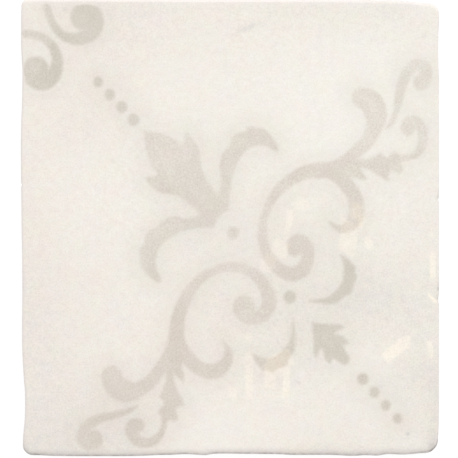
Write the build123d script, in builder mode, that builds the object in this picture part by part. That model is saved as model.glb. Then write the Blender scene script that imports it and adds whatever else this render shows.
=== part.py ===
"""Decorative wall tile: one fired piece with hand-finished sides, a gently rolling face and a rounded arris.

The tile lies on its flat back at z = 0, face up. X runs across the tile, Y up its longer side, and
the origin is under the middle of the back. Millimetres.
"""

from build123d import *

import math
import os

# The tile's box
TILE_WIDTH = 119.0
TILE_LENGTH = 130.0
TILE_THICKNESS = 9.0  # from the back to the mean level of the face

# The face rises and falls by FACE_ROLL about its mean level, in waves this long across and up the tile.
# The phases, in degrees, place the crests off the tile's middle, as on a hand-pressed piece.
FACE_ROLL = 0.22
ROLL_SPAN_ACROSS = 74.0
ROLL_SPAN_UP = 88.0
ROLL_PHASE_ACROSS = 34.0
ROLL_PHASE_UP = -52.0

# Edges
ARRIS_RADIUS = 1.4  # the rounded edge where the face turns down into the sides
BACK_CHAMFER = 0.5
LOWER_LEFT_RADIUS = 2.9
LOWER_RIGHT_RADIUS = 3.9
UPPER_RIGHT_RADIUS = 2.6
UPPER_LEFT_RADIUS = 1.8

# How far the hand-finished sides fall inside the box. A corner gives its inset from the box's nearest
# X side and Y side. A side gives (share of the way along it, inset), from left to right or bottom to top.
LOWER_LEFT_INSET = (0.7, 0.4)
LOWER_RIGHT_INSET = (0.0, 0.7)
UPPER_RIGHT_INSET = (0.0, 1.1)
UPPER_LEFT_INSET = (0.2, 0.0)
BOTTOM_SIDE = ((0.14, 0.0), (0.3, 0.3), (0.52, 0.8), (0.68, 0.5), (0.82, 0.25))
RIGHT_SIDE = ((0.35, 0.15), (0.6, 0.0), (0.9, 0.2))
TOP_SIDE = ((0.3, 0.0), (0.6, 0.0), (0.85, 0.25))
LEFT_SIDE = ((0.1, 1.25), (0.26, 0.5), (0.5, 0.35), (0.67, 0.0), (0.82, 0.35))

# Working values
ROLL_GRID = 15  # points each way that carry the face's surface
FACE_OVERHANG = 5.0  # how far that surface runs past the tile's box before it trims the blank
TRIM_HEIGHT = 4.0  # what the blank stands above the mean level, trimmed off by the face

half_width = TILE_WIDTH / 2
half_length = TILE_LENGTH / 2
lower_left = (-half_width + LOWER_LEFT_INSET[0], -half_length + LOWER_LEFT_INSET[1])
lower_right = (half_width - LOWER_RIGHT_INSET[0], -half_length + LOWER_RIGHT_INSET[1])
upper_right = (half_width - UPPER_RIGHT_INSET[0], half_length - UPPER_RIGHT_INSET[1])
upper_left = (-half_width + UPPER_LEFT_INSET[0], half_length - UPPER_LEFT_INSET[1])
corner_radii = (
    (lower_left, LOWER_LEFT_RADIUS),
    (lower_right, LOWER_RIGHT_RADIUS),
    (upper_right, UPPER_RIGHT_RADIUS),
    (upper_left, UPPER_LEFT_RADIUS),
)
bottom_points = [(TILE_WIDTH * (share - 0.5), -half_length + inset) for share, inset in BOTTOM_SIDE]
right_points = [(half_width - inset, TILE_LENGTH * (share - 0.5)) for share, inset in RIGHT_SIDE]
top_points = [(TILE_WIDTH * (share - 0.5), half_length - inset) for share, inset in TOP_SIDE]
left_points = [(-half_width + inset, TILE_LENGTH * (share - 0.5)) for share, inset in LEFT_SIDE]


def face_height(x: float, y: float) -> float:
    """Height of the rolling face above the back, at a point of the tile."""
    across = math.sin(math.radians(360 * x / ROLL_SPAN_ACROSS + ROLL_PHASE_ACROSS))
    up = math.cos(math.radians(360 * y / ROLL_SPAN_UP + ROLL_PHASE_UP))
    return TILE_THICKNESS + FACE_ROLL * across * up


def grid_line(half_size: float) -> list[float]:
    """Evenly spaced places from one side of the trimming surface to the other."""
    reach = half_size + FACE_OVERHANG
    return [reach * (2 * step / (ROLL_GRID - 1) - 1) for step in range(ROLL_GRID)]


rolling_face = Face.make_surface_from_array_of_points(
    [[(x, y, face_height(x, y)) for y in grid_line(half_length)] for x in grid_line(half_width)],
    tol=0.001,
)

with BuildPart() as tile:
    with BuildSketch():
        with BuildLine():
            Spline(lower_left, *bottom_points, lower_right)
            Spline(lower_right, *right_points, upper_right)
            Spline(upper_right, *reversed(top_points), upper_left)
            Spline(upper_left, *reversed(left_points), lower_left)
        make_face()
    extrude(amount=TILE_THICKNESS + TRIM_HEIGHT)

    # The upright edges, each with its own radius
    for corner, radius in corner_radii:
        upright = tile.edges().filter_by(Axis.Z).sort_by_distance((*corner, TILE_THICKNESS / 2))[0]
        fillet(upright, radius)

    # The rolling face, then the arris round it and the relieved edge round the back
    extrude(rolling_face, amount=2 * TRIM_HEIGHT, dir=(0, 0, 1), mode=Mode.SUBTRACT)
    fillet(tile.faces().sort_by(Axis.Z)[-1].edges(), ARRIS_RADIUS)
    chamfer(tile.faces().sort_by(Axis.Z)[0].edges(), BACK_CHAMFER)

tile.part.label = "tile"
os.makedirs("parts", exist_ok=True)
export_step(tile.part, "parts/tile.step")
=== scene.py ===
"""The decorative tile as it looks: ivory glaze, printed scroll ornament, rounded arris and bare back.

The part's own frame, in metres: X across the tile, Y up its longer side, Z out of the glazed face. The
tile's sizes and the ornament's places are written in millimetres from the middle of the tile.
"""

import logging
import math
from dataclasses import dataclass, field
from enum import Enum

import bpy
import numpy as np
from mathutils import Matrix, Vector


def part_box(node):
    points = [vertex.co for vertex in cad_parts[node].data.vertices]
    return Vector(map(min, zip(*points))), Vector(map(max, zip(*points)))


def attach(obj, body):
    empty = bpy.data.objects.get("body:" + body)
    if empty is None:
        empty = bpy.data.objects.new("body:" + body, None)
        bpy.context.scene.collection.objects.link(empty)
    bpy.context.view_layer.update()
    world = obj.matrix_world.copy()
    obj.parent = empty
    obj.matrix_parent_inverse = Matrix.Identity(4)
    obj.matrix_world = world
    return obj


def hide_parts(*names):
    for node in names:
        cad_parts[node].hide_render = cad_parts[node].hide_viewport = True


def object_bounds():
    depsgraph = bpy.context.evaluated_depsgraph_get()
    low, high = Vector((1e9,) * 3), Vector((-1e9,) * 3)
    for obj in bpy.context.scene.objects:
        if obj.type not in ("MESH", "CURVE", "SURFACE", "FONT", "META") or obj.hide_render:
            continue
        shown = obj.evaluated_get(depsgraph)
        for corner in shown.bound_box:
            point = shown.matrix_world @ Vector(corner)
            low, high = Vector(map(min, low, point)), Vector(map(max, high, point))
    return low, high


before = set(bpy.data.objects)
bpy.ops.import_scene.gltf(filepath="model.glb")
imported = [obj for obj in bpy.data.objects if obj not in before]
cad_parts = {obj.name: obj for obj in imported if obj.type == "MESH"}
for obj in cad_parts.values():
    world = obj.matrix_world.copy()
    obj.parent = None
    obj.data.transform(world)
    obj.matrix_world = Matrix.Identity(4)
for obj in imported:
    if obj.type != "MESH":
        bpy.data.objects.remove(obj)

CAD_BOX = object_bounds()
MM = 0.001
TINY = 1e-9
LOG = logging.getLogger("decorative_tile")

Point = tuple[float, float]
Knot = tuple[float, float, float]
Run = tuple[Point, ...]
Span = tuple[float, float]
Colour = tuple[float, float, float]


def smooth_curve(points: np.ndarray, step: float) -> np.ndarray:
    """Runs a smooth curve through a few points.

    Args:
        points: One row for each point. The first two columns are its place, and any others ride along.
        step: The largest distance between two places on the curve.

    Returns:
        The curve's places in order, with both ends, in the same columns.
    """
    if len(points) == 2:
        count = max(2, math.ceil(np.linalg.norm(points[1, :2] - points[0, :2]) / step) + 1)
        share = np.linspace(0.0, 1.0, count)[:, None]
        return points[0] * (1 - share) + points[1] * share
    gaps = np.sqrt(np.linalg.norm(np.diff(points[:, :2], axis=0), axis=1))[:, None]
    speeds = np.diff(points, axis=0) / gaps
    middle = (speeds[:-1] * gaps[1:] + speeds[1:] * gaps[:-1]) / (gaps[:-1] + gaps[1:])
    first = 1.5 * speeds[:1] - 0.5 * middle[:1]
    last = 1.5 * speeds[-1:] - 0.5 * middle[-1:]
    tangents = np.concatenate([first, middle, last])
    spans = []
    for index, gap in enumerate(gaps[:, 0]):
        count = max(2, math.ceil(np.linalg.norm(points[index + 1, :2] - points[index, :2]) / step) + 1)
        t = np.linspace(0.0, 1.0, count)[1:, None]
        spans.append(
            points[index] * (2 * t**3 - 3 * t**2 + 1)
            + tangents[index] * gap * (t**3 - 2 * t**2 + t)
            + points[index + 1] * (3 * t**2 - 2 * t**3)
            + tangents[index + 1] * gap * (t**3 - t**2)
        )
    return np.concatenate([points[:1], *spans])


def read_rows(data: bpy.types.bpy_prop_collection, name: str, columns: int) -> np.ndarray:
    """Reads one property of all of a mesh's points.

    Args:
        data: The mesh's points, or what is kept for them.
        name: The property's name.
        columns: How many numbers it has.

    Returns:
        The numbers, one row for each point.
    """
    values = np.empty(len(data) * columns)
    data.foreach_get(name, values)
    return values.reshape(-1, columns)


def grey(level: float) -> tuple[float, float, float, float]:
    """An opaque grey, from 0 for black to 1 for white."""
    return (level, level, level, 1.0)


class Ink(Enum):
    """The greys of the print, which fired a little differently over the tile, by their warmth."""

    SAGE = 0.0
    EARTH = 0.5
    ROSE = 1.0


@dataclass(frozen=True)
class FoldLine:
    """The line from corner to corner that the ornament is mirrored about.

    Attributes:
        through: A point on the line.
        along: The line's direction.
        across: The direction in which a place and its mirror image lie from each other.
    """

    through: Point = (0.13, 0.0)
    along: Point = (0.660, -0.752)
    across: Point = (0.6665, 0.7455)

    def mirror(self, places: np.ndarray) -> np.ndarray:
        """Mirrors places about the line.

        Args:
            places: One row for each place. Columns after the second stay as they are.

        Returns:
            The mirrored places.
        """
        axes = np.array([self.along, self.across]).T
        shares = np.linalg.solve(axes, (places[:, :2] - self.through).T)
        shares[1] *= -1
        mirrored = places.copy()
        mirrored[:, :2] = (axes @ shares).T + self.through
        return mirrored


FOLD = FoldLine()


@dataclass(frozen=True)
class SoftPatch:
    """A soft patch of the tile: paler or greyer glaze, painted shade or a painted highlight, more or less
    ink, a tint, or stains.

    Attributes:
        place: The patch's middle, in millimetres.
        reach: How far it reaches across and up.
        amount: How much there is of it, below zero for less.
        turn: How far it is turned to the left, in degrees.
    """

    place: Point
    reach: Point
    amount: float
    turn: float = 0.0

    def at(self, places: np.ndarray) -> np.ndarray:
        """Works out how much of the patch there is, fading out softly.

        Args:
            places: Places of the tile, in millimetres, one row each.

        Returns:
            The amount at each place.
        """
        lean = math.radians(self.turn)
        axes = np.array([[math.cos(lean), -math.sin(lean)], [math.sin(lean), math.cos(lean)]])
        away = (places - self.place) @ axes / self.reach
        return self.amount * np.exp(-0.5 * (away**2).sum(axis=1))


def patches(*rows: tuple[float, ...]) -> tuple[SoftPatch, ...]:
    """Makes soft patches from rows of numbers.

    Args:
        rows: Each patch's place across and up, its reach across and up, its amount and perhaps its turn.

    Returns:
        The patches in order.
    """
    return tuple(SoftPatch(row[:2], row[2:4], *row[4:]) for row in rows)


def spread(soft: tuple[SoftPatch, ...], places: np.ndarray) -> np.ndarray:
    """The amounts of soft patches at places of the tile, added up."""
    return sum(patch.at(places) for patch in soft)


@dataclass(frozen=True)
class Stroke:
    """A brush stroke.

    Attributes:
        knots: Places along the middle of the stroke, each with the stroke's half width there.
        step: The largest distance between two places of the drawn stroke.
    """

    knots: tuple[Knot, ...]
    step: float = 0.12

    def places(self) -> np.ndarray:
        """The stroke's middle line, with its half width as the third column."""
        return smooth_curve(np.array(self.knots), self.step)

    def depth(self, at: np.ndarray, places: np.ndarray) -> np.ndarray:
        """How deep points lie inside the stroke.

        Args:
            at: The points, one row each.
            places: The stroke's middle line, as places() gives it, perhaps mirrored or moved.

        Returns:
            Millimetres inside the stroke's edge, below zero outside it.
        """
        deepest = np.full(len(at), -np.inf)
        for x, y, half_width in places:
            reach = half_width - np.hypot(at[:, 0] - x, at[:, 1] - y)
            np.maximum(deepest, reach, out=deepest)
        return deepest


@dataclass(frozen=True)
class Leaf:
    """A leaf's outline: smooth runs that meet at points.

    Attributes:
        runs: The runs, in order round the leaf. Each goes on from where the one before ends, and the last
            ends where the first begins.
        folded: The runs are one half of a leaf that lies on the fold line, from tip to base.
        step: The largest distance between two places of the drawn outline.
    """

    runs: tuple[Run, ...]
    folded: bool = False
    step: float = 0.25

    def places(self) -> np.ndarray:
        """Draws the outline.

        Returns:
            The whole outline, closed, as places in order.
        """
        outline = smooth_curve(np.array(self.runs[0]), self.step)
        for run in self.runs[1:]:
            onward = smooth_curve(np.concatenate([outline[-1:], run]), self.step)
            outline = np.concatenate([outline[:-1], onward])
        if not self.folded:
            return outline
        return np.concatenate([outline, FOLD.mirror(outline)[::-1]])

    def depth(self, at: np.ndarray, places: np.ndarray) -> np.ndarray:
        """How deep points lie inside the leaf.

        Args:
            at: The points, one row each.
            places: The closed outline, as places() gives it, perhaps mirrored or moved.

        Returns:
            Millimetres inside the leaf's edge, below zero outside it.
        """
        nearest = np.full(len(at), np.inf)
        inside = np.zeros(len(at), dtype=bool)
        for start, end in zip(places, np.roll(places, -1, axis=0)):
            side = end - start
            length = max(float(side @ side), TINY)
            share = np.clip(((at - start) @ side) / length, 0.0, 1.0)
            foot = start + share[:, None] * side
            np.minimum(nearest, np.hypot(at[:, 0] - foot[:, 0], at[:, 1] - foot[:, 1]), out=nearest)
            crosses = (start[1] > at[:, 1]) != (end[1] > at[:, 1])
            if crosses.any():
                level = start[0] + side[0] * (at[:, 1] - start[1]) / (side[1] or TINY)
                inside ^= crosses & (at[:, 0] < level)
        return np.where(inside, nearest, -nearest)


@dataclass(frozen=True)
class Motif:
    """One printed figure.

    Attributes:
        shapes: The strokes and leaves that make it.
        strength: How strongly it took the ink, from 0 to 1.
        ink: Which of the greys it shows.
        mirrored: It appears a second time, mirrored about the fold line.
        mirror_strength: The strength of that second one.
        mirror_ink: Which of the greys that one shows.
        slip: How far the second one lies from the true mirror image, as in a hand-laid transfer.
    """

    shapes: tuple[Stroke | Leaf, ...]
    strength: float
    ink: Ink
    mirrored: bool = False
    mirror_strength: float = 0.0
    mirror_ink: Ink = Ink.SAGE
    slip: Point = (0.0, 0.0)

    def drawn(self) -> list[tuple[Stroke | Leaf, np.ndarray, float, Ink]]:
        """Draws the figure, and its mirror image if it has one.

        Returns:
            Each shape with its places, the strength of its ink and the ink.
        """
        made = []
        for shape in self.shapes:
            places = shape.places()
            made.append((shape, places, self.strength, self.ink))
            if self.mirrored:
                image = FOLD.mirror(places)
                image[:, :2] += self.slip
                made.append((shape, image, self.mirror_strength, self.mirror_ink))
        return made


@dataclass(frozen=True)
class BeadRow:
    """A row of beads on the fold line, evenly spaced and changing evenly in size.

    Attributes:
        first: The first bead's middle.
        last: The last bead's middle.
        first_radius: The first bead's half width.
        last_radius: The last bead's half width.
        count: How many beads there are.
        rise: How much taller a bead is than wide, as half the extra height.
    """

    first: Point
    last: Point
    first_radius: float
    last_radius: float
    count: int = 4
    rise: float = 0.14

    def beads(self) -> tuple[Stroke, ...]:
        """Draws the beads.

        Returns:
            Each bead as a short upright stroke.
        """
        made = []
        for share in np.linspace(0.0, 1.0, self.count):
            x = self.first[0] + share * (self.last[0] - self.first[0])
            y = self.first[1] + share * (self.last[1] - self.first[1])
            radius = self.first_radius + share * (self.last_radius - self.first_radius)
            made.append(Stroke(((x, y - self.rise, radius), (x, y + self.rise, radius))))
        return tuple(made)


UPPER_VOLUTE = Stroke((
    (-52.5, 66.0, 0.85), (-51.6, 62.0, 0.9), (-50.1, 58.2, 1.0), (-48.0, 55.4, 1.1),
    (-45.6, 54.2, 1.4), (-42.9, 53.9, 1.7), (-40.3, 54.9, 2.05), (-38.4, 56.7, 2.2),
    (-37.9, 58.9, 2.15), (-38.6, 61.0, 2.1), (-40.2, 62.0, 1.95),
))
UPPER_VOLUTE_EYE = Stroke(((-41.2, 60.1, 3.8), (-41.2, 60.2, 3.8)))

LEFT_VOLUTE = Stroke((
    (-61.5, 55.4, 1.05), (-57.0, 55.25, 1.0), (-54.9, 54.9, 1.05), (-52.75, 54.05, 1.05),
    (-50.75, 52.4, 1.2), (-49.45, 50.25, 1.35), (-48.85, 47.9, 1.45), (-49.2, 45.4, 1.8),
    (-50.3, 43.2, 2.05), (-52.1, 41.8, 2.25), (-54.3, 41.6, 2.2), (-55.9, 42.5, 2.0),
))
LEFT_VOLUTE_EYE = Stroke(((-55.0, 45.0, 3.65), (-55.0, 45.1, 3.65)))

BUD = Leaf(
    (
        ((-24.1, 27.5), (-21.6, 27.3), (-18.2, 26.6), (-15.6, 25.2), (-13.3, 23.3)),
        ((-12.7, 25.2), (-12.3, 27.2)),
        ((-10.4, 25.3), (-8.7, 22.6), (-8.4, 19.2), (-7.5, 15.8), (-5.6, 12.4), (-3.2, 9.2)),
        ((-2.0, 6.4), (-2.6, 3.7)),
    ),
    folded=True,
)
FROND = Leaf((
    ((-3.3, 9.1), (-2.3, 12.3), (-2.3, 15.1), (-2.6, 17.3), (-1.8, 21.1), (0.4, 23.9)),
    ((0.8, 25.5), (1.8, 26.7), (4.6, 27.4)),
    ((5.4, 28.5), (6.4, 28.8), (7.4, 28.4)),
    ((9.3, 28.55), (11.15, 27.2), (12.75, 25.25), (13.95, 22.6), (13.7, 21.9)),
    (
        (12.2, 22.5), (10.7, 23.4), (8.9, 23.8), (7.1, 23.5), (5.1, 22.5),
        (3.1, 20.1), (1.5, 17.0), (0.6, 13.7), (0.1, 9.7), (-0.1, 6.1), (-0.3, 5.1),
    ),
    ((-1.4, 4.7), (-2.7, 3.6)),
    ((-5.1, 5.9), (-3.3, 9.1)),
))

SPIRAL = Stroke((
    (18.8, -5.7, 2.18), (18.9, -4.1, 2.2), (20.4, -3.9, 1.97), (22.05, -5.8, 1.9),
    (22.2, -8.9, 1.75), (20.95, -11.55, 1.95), (18.24, -13.0, 1.95), (15.24, -12.2, 1.8),
    (12.34, -9.7, 1.6), (10.34, -6.2, 1.4), (9.54, -2.5, 1.3), (9.59, 1.2, 1.15), (10.54, 5.0, 1.1),
    (12.34, 8.7, 1.3), (14.94, 11.8, 1.45), (18.54, 14.4, 1.72), (22.14, 16.1, 1.9),
    (25.54, 16.6, 2.0), (28.14, 16.9, 1.95),
))
SPIRAL_JOIN = Stroke(((4.6, -22.4, 1.0), (6.4, -23.2, 1.0)))
COMMA = Stroke((
    (25.4, 16.25, 2.0), (30.3, 17.25, 2.05), (33.55, 19.35, 1.9), (36.4, 22.02, 1.75),
    (39.2, 24.72, 1.8), (41.0, 28.12, 2.1), (41.85, 31.12, 2.7), (41.4, 33.62, 3.15),
    (40.3, 35.85, 3.2), (37.8, 37.15, 2.8),
))
HOOK = Stroke((
    (27.6, 16.4, 1.9), (31.0, 14.9, 2.0), (33.6, 12.2, 2.0), (35.5, 9.3, 1.95), (36.25, 6.2, 2.05),
    (36.0, 3.2, 2.0), (34.2, 0.75, 1.6), (32.1, -0.1, 1.2), (30.1, 0.6, 0.65), (28.6, 1.7, 0.2),
))
SPRIG = Leaf((
    ((33.86, 19.36), (36.66, 19.56), (39.16, 19.56), (41.16, 20.46), (43.16, 21.46)),
    ((43.76, 20.66), (45.26, 19.96)),
    ((45.86, 21.06), (46.86, 21.86)),
    ((48.16, 21.06), (51.06, 20.66)),
    ((51.06, 19.46), (49.46, 19.16), (48.86, 18.06), (49.26, 16.86), (48.76, 15.66)),
    ((47.36, 15.96), (45.96, 16.56)),
    ((45.46, 15.36), (45.26, 13.86)),
    ((44.06, 14.06), (42.06, 15.46), (40.26, 16.56), (37.26, 17.26)),
    ((38.16, 15.66), (39.36, 13.96)),
    ((37.6, 13.8), (36.0, 14.4), (34.9, 14.5), (33.9, 13.9)),
    ((32.4, 16.4), (33.86, 19.36)),
))
SPRIG_VOLUTE = Stroke((
    (49.6, 20.1, 0.5), (51.2, 20.2, 0.55), (53.2, 21.2, 0.95), (54.7, 23.3, 1.2), (55.2, 26.1, 1.3),
    (54.5, 28.8, 1.45), (52.7, 30.3, 1.65), (51.05, 29.8, 1.85), (50.85, 28.25, 1.8),
))
TENDRIL = Stroke((
    (44.7, 28.6, 0.35), (46.2, 30.0, 0.6), (47.4, 32.9, 0.75), (48.1, 36.0, 1.05),
    (48.7, 39.2, 1.3), (49.5, 42.2, 1.4), (51.0, 45.0, 1.45), (53.4, 46.6, 1.55),
    (55.4, 45.8, 1.75), (55.8, 43.6, 1.75), (54.7, 41.6, 2.3),
))
LOWER_TENDRIL = Stroke((
    (-26.2, -50.6, 0.2), (-27.9, -51.55, 0.55), (-30.0, -52.4, 0.75), (-32.8, -53.15, 0.95),
    (-35.7, -53.8, 1.15), (-38.5, -54.8, 1.3), (-40.6, -56.5, 1.45), (-41.8, -58.6, 1.4),
    (-41.5, -60.6, 1.5), (-39.9, -61.4, 1.6),
))
LOWER_TENDRIL_EYE = Stroke(((-38.6, -60.0, 2.6), (-38.6, -60.1, 2.6)))
CRESCENT = Leaf((
    ((31.58, -7.5), (33.48, -8.6), (35.88, -11.3)),
    ((35.68, -12.3), (36.18, -13.9), (35.18, -16.0)),
    ((34.98, -17.4), (34.18, -18.7), (32.78, -19.1)),
    ((31.78, -20.2), (30.48, -21.1), (28.18, -21.4), (25.38, -21.1), (22.68, -20.6)),
    (
        (25.38, -20.3), (28.08, -19.6), (30.28, -17.9), (32.08, -15.6),
        (32.68, -12.6), (32.28, -9.4), (31.58, -7.5),
    ),
))
CRESCENT_TIP = Stroke(((18.15, -26.9, 0.3), (18.25, -29.5, 0.45), (18.0, -32.0, 0.6)))
ARROW_LEAF = Leaf(
    (
        ((23.6, -26.8), (26.5, -27.2), (29.5, -27.4), (31.6, -27.45)),
        ((32.4, -28.0), (31.9, -28.65)),
        ((30.7, -29.0), (30.05, -29.9)),
        ((31.0, -30.4), (32.7, -31.1), (33.9, -32.5)),
        ((33.1, -33.0), (32.3, -33.2)),
        ((32.9, -34.6), (33.8, -36.0), (34.15, -37.2), (33.9, -38.1)),
    ),
    folded=True,
)
UPPER_BEADS = BeadRow((-37.3, 41.65), (-27.2, 30.9), 1.25, 1.5)
LOWER_BEADS = BeadRow((38.0, -42.85), (47.8, -54.05), 1.45, 1.2)
HEART_BEAD = BeadRow((1.1, -1.3), (1.1, -1.3), 1.5, 1.5, count=1)
SCROLL_BEAD = BeadRow((17.2, -19.5), (17.2, -19.5), 1.65, 1.65, count=1)

PRINT = (
    Motif((UPPER_VOLUTE, UPPER_VOLUTE_EYE), 0.76, Ink.SAGE),
    Motif((LEFT_VOLUTE, LEFT_VOLUTE_EYE), 0.78, Ink.SAGE),
    Motif(UPPER_BEADS.beads(), 0.76, Ink.SAGE),
    Motif((BUD,), 0.51, Ink.EARTH),
    Motif((FROND,), 0.56, Ink.EARTH, True, 0.54, Ink.EARTH, (0.03, 0.0)),
    Motif(HEART_BEAD.beads(), 0.54, Ink.EARTH),
    Motif((SPIRAL,), 0.58, Ink.ROSE, True, 0.57, Ink.ROSE, (-0.1, -0.4)),
    Motif((SPIRAL_JOIN,), 0.57, Ink.ROSE),
    Motif((COMMA,), 0.54, Ink.ROSE, True, 0.60, Ink.ROSE, (-0.25, 0.29)),
    Motif((HOOK,), 0.60, Ink.EARTH, True, 0.63, Ink.ROSE, (-0.15, 0.14)),
    Motif((SPRIG,), 0.57, Ink.EARTH, True, 0.67, Ink.ROSE, (-0.43, 0.41)),
    Motif((SPRIG_VOLUTE,), 0.48, Ink.EARTH, True, 0.71, Ink.ROSE, (-0.57, 0.97)),
    Motif((TENDRIL,), 0.48, Ink.EARTH),
    Motif((LOWER_TENDRIL, LOWER_TENDRIL_EYE), 0.62, Ink.ROSE),
    Motif(SCROLL_BEAD.beads(), 0.84, Ink.SAGE),
    Motif((CRESCENT,), 0.82, Ink.SAGE, True, 0.72, Ink.EARTH),
    Motif((CRESCENT_TIP,), 0.72, Ink.EARTH),
    Motif((ARROW_LEAF,), 0.78, Ink.SAGE),
    Motif(LOWER_BEADS.beads(), 0.81, Ink.EARTH),
)
UNEVEN_INK = patches(
    (-51.7, 62.0, 1.5, 3.0, -0.12), (-48.3, 55.1, 2.0, 1.8, 0.14), (-56.0, 55.0, 3.2, 1.5, -0.21),
    (-50.4, 43.6, 3.0, 3.0, 0.16), (-49.3, 50.0, 2.0, 4.0, 0.08), (-55.4, 47.7, 3.0, 1.6, -0.12),
    (-17.5, 21.0, 4.0, 4.0, -0.09), (-17.5, 11.5, 5.0, 2.5, 0.10), (-7.0, 5.5, 3.0, 2.0, 0.08),
    (-23.5, 25.5, 2.0, 3.0, 0.08), (12.8, 23.4, 2.0, 1.2, 0.10), (-1.4, 8.0, 2.0, 2.5, -0.08),
    (-21.8, -12.0, 2.0, 3.0, 0.15), (9.6, 1.0, 3.0, 5.5, -0.17), (19.5, -12.5, 4.0, 2.5, 0.08),
    (25.0, 16.4, 5.0, 2.5, 0.05), (0.5, -11.0, 4.5, 2.5, -0.11), (-10.8, -17.1, 1.8, 2.0, -0.16),
    (-14.7, -30.5, 2.5, 6.0, 0.10), (4.0, -24.5, 3.0, 2.0, -0.08), (11.1, -21.0, 1.8, 2.0, -0.07),
    (40.7, 28.1, 2.5, 2.5, -0.09), (37.6, 37.2, 3.0, 2.5, -0.12), (-2.0, -32.2, 1.2, 1.5, -0.15),
    (49.5, 19.9, 1.0, 1.0, -0.17), (53.0, 21.0, 2.0, 1.5, 0.09), (48.6, 38.9, 1.8, 2.5, 0.09),
    (52.2, 45.7, 3.0, 2.0, -0.13), (-28.1, -51.5, 1.5, 1.5, 0.13), (-37.2, -54.5, 3.5, 1.5, 0.09),
    (-42.0, -59.8, 1.8, 2.5, -0.13), (32.5, -9.0, 1.5, 1.5, -0.12),
)


@dataclass(frozen=True)
class ScrollPrint:
    """The whole printed ornament, as values that the glaze reads at each point of the tile.

    Attributes:
        motifs: The printed figures.
        uneven: Where the figures took more or less of the ink.
        margin: How far outside a figure its edge is still worked out.
        blend: How far two figures' inks run into each other where they meet.
        register: How far the whole print was laid off the tile's middle.
        thinning: How much narrower a figure gets for each millimetre out over the arris.
    """

    motifs: tuple[Motif, ...] = PRINT
    uneven: tuple[SoftPatch, ...] = UNEVEN_INK
    margin: float = 7.0
    blend: float = 0.9
    register: Point = (-0.19, -0.13)
    thinning: float = 0.7

    def values(self, at: np.ndarray) -> tuple[np.ndarray, np.ndarray, np.ndarray]:
        """Works the print out at points of the tile.

        Args:
            at: The points, in millimetres from the tile's middle, one row each.

        Returns:
            Each point's depth inside the print in millimetres, the ink's strength there and its warmth.
        """
        at = at - self.register
        depth = np.full(len(at), -self.margin)
        strength = np.zeros(len(at))
        warmth = np.zeros(len(at))
        weight = np.full(len(at), TINY)
        for motif in self.motifs:
            for shape, places, ink_strength, ink in motif.drawn():
                reach = self.margin + (places[:, 2].max() if places.shape[1] > 2 else 0.0)
                low = places[:, :2].min(axis=0) - reach
                high = places[:, :2].max(axis=0) + reach
                near = np.flatnonzero(((at > low) & (at < high)).all(axis=1))
                found = shape.depth(at[near], places)
                depth[near] = np.maximum(depth[near], found)
                share = np.exp(found / self.blend)
                weight[near] += share
                strength[near] += share * ink_strength
                warmth[near] += share * ink.value
        return depth, strength / weight + spread(self.uneven, at), warmth / weight


class Signal:
    """A shader socket's value, with Python's arithmetic."""

    def __init__(self, sheet: "NodeSheet", socket: bpy.types.NodeSocket) -> None:
        """Keeps the socket and the sheet that new nodes go on."""
        self.sheet = sheet
        self.socket = socket

    def _with(self, operation: str, first: "Signal | float", second: "Signal | float") -> "Signal":
        """Adds one Math node.

        Args:
            operation: The node's operation.
            first: The first value.
            second: The second value.

        Returns:
            The node's value.
        """
        node = self.sheet.node("ShaderNodeMath", {"operation": operation}, {0: first, 1: second})
        return Signal(self.sheet, node.outputs[0])

    def __add__(self, other: "Signal | float") -> "Signal":
        """Adds a value."""
        return self._with("ADD", self, other)

    def __radd__(self, other: float) -> "Signal":
        """Adds to a number."""
        return self._with("ADD", other, self)

    def __sub__(self, other: "Signal | float") -> "Signal":
        """Takes a value away."""
        return self._with("SUBTRACT", self, other)

    def __rsub__(self, other: float) -> "Signal":
        """Is taken away from a number."""
        return self._with("SUBTRACT", other, self)

    def __mul__(self, other: "Signal | float") -> "Signal":
        """Multiplies by a value."""
        return self._with("MULTIPLY", self, other)

    def __rmul__(self, other: float) -> "Signal":
        """Multiplies a number."""
        return self._with("MULTIPLY", other, self)

    def between(self, low: float, high: float) -> "Signal":
        """Eases from 0 at the low value to 1 at the high one.

        Args:
            low: The value that gives 0.
            high: The value that gives 1.

        Returns:
            The eased value.
        """
        settings = {"interpolation_type": "SMOOTHSTEP"}
        inputs = {"Value": self, "From Min": low, "From Max": high}
        node = self.sheet.node("ShaderNodeMapRange", settings, inputs)
        return Signal(self.sheet, node.outputs["Result"])


class Cloud(Enum):
    """The finish's soft random patterns: each one's size in metres, its seed and its finer layers."""

    THIN_RIM = (5.0 * MM, 3.1, 2.0)
    # Breaks up the dark edge line of painted shade and stains.
    WORN_AND_SHADED_LINE = (2.2 * MM, 5.9, 2.0)
    CLAY = (1.1 * MM, 7.7, 4.0)
    CLAY_RELIEF = (0.5 * MM, 2.9, 3.0)
    GLAZE_LINE = (7.0 * MM, 5.3, 2.0)
    GLAZE_RELIEF = (3.2 * MM, 1.7, 2.0)
    HAZE = (9.0 * MM, 9.2, 3.0)
    FINE_GRAIN = (0.5 * MM, 4.4, 1.0)
    GRAIN = (1.8 * MM, 0.4, 3.0)
    FINE_SPECKLE = (0.8 * MM, 1.9, 2.0)
    SPECKLE = (4.5 * MM, 6.6, 2.0)
    FRAYED_EDGE = (0.8 * MM, 6.1, 2.0)
    FINE_MOTTLE = (0.5 * MM, 8.3, 3.0)
    MOTTLE = (6.0 * MM, 2.2, 2.0)


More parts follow.
